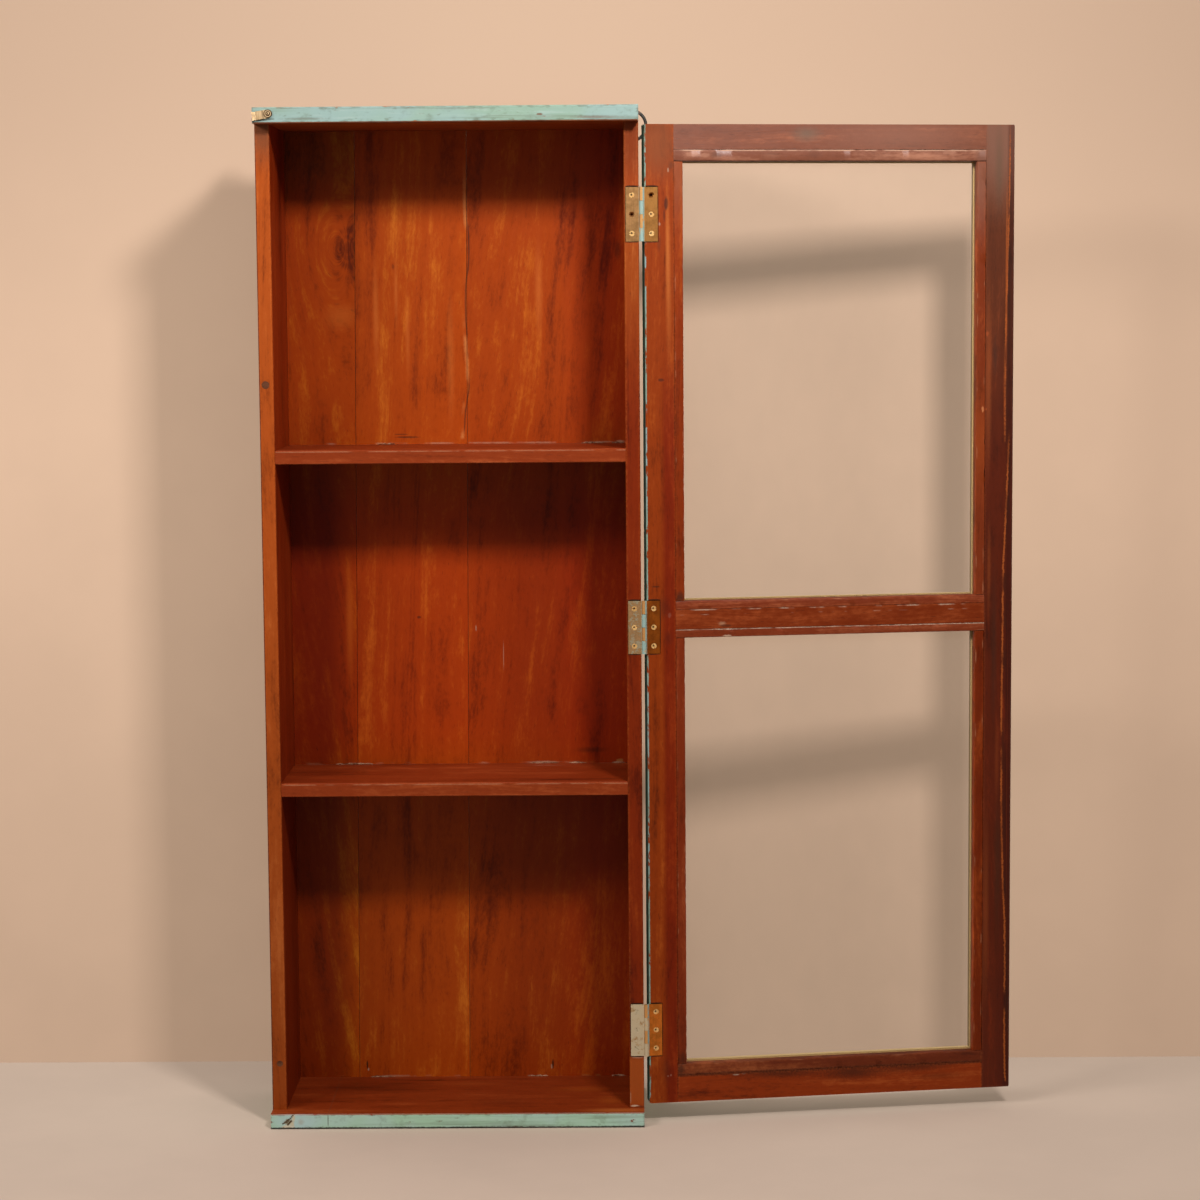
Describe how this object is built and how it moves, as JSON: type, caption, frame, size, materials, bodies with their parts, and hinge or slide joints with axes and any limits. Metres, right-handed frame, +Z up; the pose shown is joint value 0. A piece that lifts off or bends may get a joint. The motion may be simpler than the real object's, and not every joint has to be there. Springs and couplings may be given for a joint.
{
  "type": "wall cabinet",
  "caption": "Tall narrow glazed wall cabinet with fixed shelves, a glass-panelled hinged door, a turn button latch and hanging rings.",
  "frame": {"origin": "centre of the bottom board's underside", "axes": "+X to the right seen from the front, +Y back to the wall, +Z up"},
  "size_m": [0.8915, 0.1901, 1.1969],
  "materials": {
    "painted_teak": "worn painted wood",
    "teak_case": "polished",
    "teak_back": "polished",
    "teak_door": "polished",
    "teak_bead": "polished",
    "plug_wood": "matte",
    "window_glass": "clear",
    "old_brass": "aged",
    "screw_brass": "aged",
    "dark_iron": "forged",
    "nail_steel": "dull"
  },
  "bodies": {
    "case": {"top_board": "painted_teak", "bottom_board": "painted_teak", "left_side": "teak_case", "right_side": "teak_case", "upper_shelf": "teak_case", "lower_shelf": "teak_case", "back_plank_left": "teak_back", "back_plank_middle": "teak_back", "back_plank_right": "teak_back", "edge_plugs": "plug_wood", "case_nails": "nail_steel", "back_nails": "nail_steel", "case_hinge_screws": "screw_brass", "turn_button_washer": "old_brass", "turn_button_screw": "old_brass", "right_hanger_staple": "dark_iron", "left_hanger_staple": "dark_iron", "hinge_top_case_leaf": "old_brass", "hinge_middle_case_leaf": "old_brass", "hinge_bottom_case_leaf": "old_brass", "hinge_top_pin": "old_brass", "hinge_middle_pin": "old_brass", "hinge_bottom_pin": "old_brass"},
    "door": {"door_hinge_stile": "teak_door", "door_free_stile": "teak_door", "door_top_rail": "teak_door", "door_middle_rail": "teak_door", "door_bottom_rail": "teak_door", "upper_glass": "window_glass", "lower_glass": "window_glass", "upper_bead_top": "teak_bead", "upper_bead_bottom": "teak_bead", "upper_bead_hinge_side": "teak_bead", "upper_bead_free_side": "teak_bead", "lower_bead_top": "teak_bead", "lower_bead_bottom": "teak_bead", "lower_bead_hinge_side": "teak_bead", "lower_bead_free_side": "teak_bead", "hinge_top_door_leaf": "old_brass", "hinge_middle_door_leaf": "old_brass", "hinge_bottom_door_leaf": "old_brass", "door_hinge_screws": "screw_brass", "bead_pins": "nail_steel"},
    "button": {"turn_button": "old_brass"},
    "left_ring": {"left_hanger_ring": "dark_iron"},
    "right_ring": {"right_hanger_ring": "dark_iron"}
  },
  "joints": [
    {"name": "door_hinge", "type": "hinge", "parent": "case", "child": "door", "pos_m": [0.2234, -0.0685, 0.6], "axis": [0, 0, 1], "range_deg": [-189, 6]},
    {"name": "button_turn", "type": "hinge", "parent": "case", "child": "button", "pos_m": [-0.2013, -0.09, 1.1825], "axis": [0, -1, 0], "range_deg": [-10, 80]},
    {"name": "left_ring_swing", "type": "hinge", "parent": "case", "child": "left_ring", "pos_m": [-0.212, 0.0913, 1.159], "axis": [-1, 0, 0], "range_deg": [0, 180]},
    {"name": "right_ring_swing", "type": "hinge", "parent": "case", "child": "right_ring", "pos_m": [0.212, 0.0913, 1.159], "axis": [-1, 0, 0], "range_deg": [0, 180]}
  ]
}
